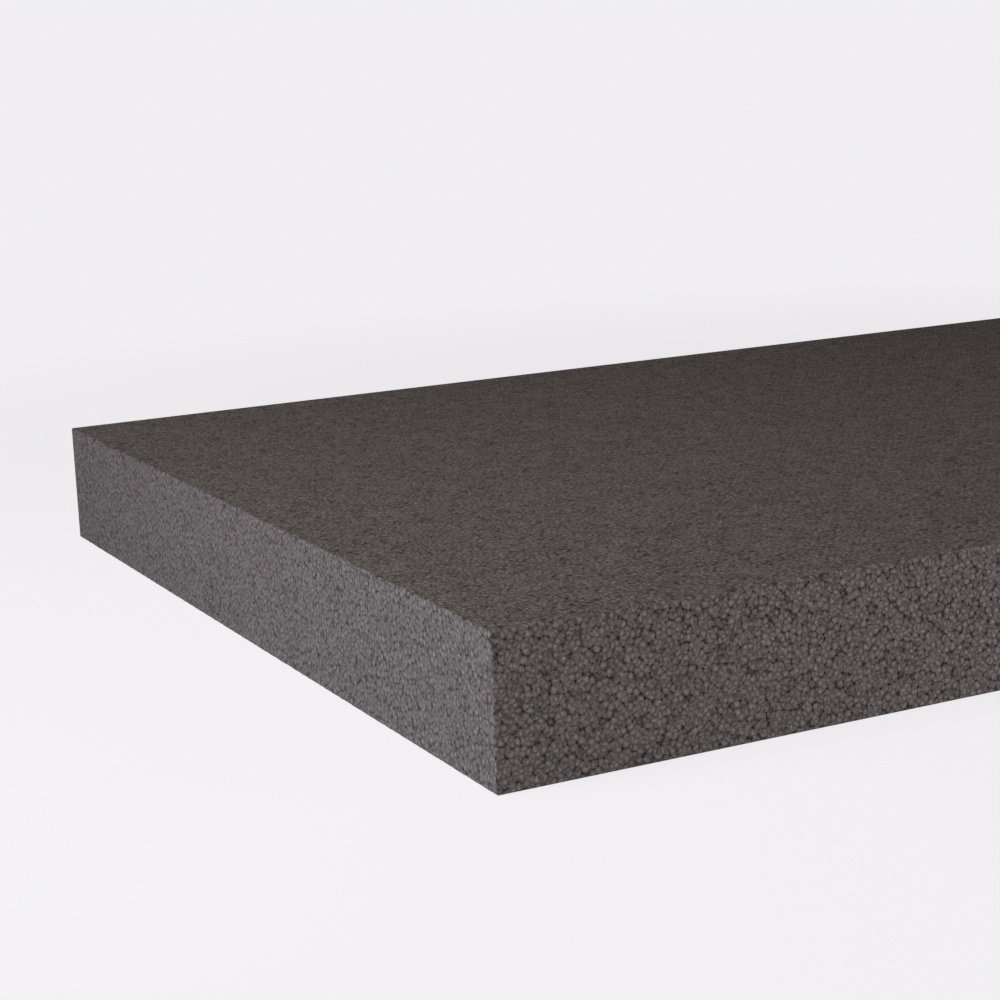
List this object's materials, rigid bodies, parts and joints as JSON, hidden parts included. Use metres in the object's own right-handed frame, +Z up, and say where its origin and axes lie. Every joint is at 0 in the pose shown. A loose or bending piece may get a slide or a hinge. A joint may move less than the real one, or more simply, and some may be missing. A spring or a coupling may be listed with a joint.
{
  "type": "polystyrene insulation board",
  "caption": "Flat rectangular slab of dark grey expanded polystyrene bead foam with square-cut edges, laid or bonded edge to edge as thermal insulation.",
  "frame": {"origin": "centre of the underside, midway along the length and the width", "axes": "+X along the board's length, +Y along its width, +Z up through its thickness"},
  "size_m": [1, 0.5, 0.06],
  "materials": {
    "bead_foam": "dark grey expanded polystyrene, cut with a hot wire: fused beads with small dark pits between them, matt with a faint satin glint"
  },
  "bodies": {
    "root": {"insulation_board": "bead_foam"}
  },
  "joints": []
}
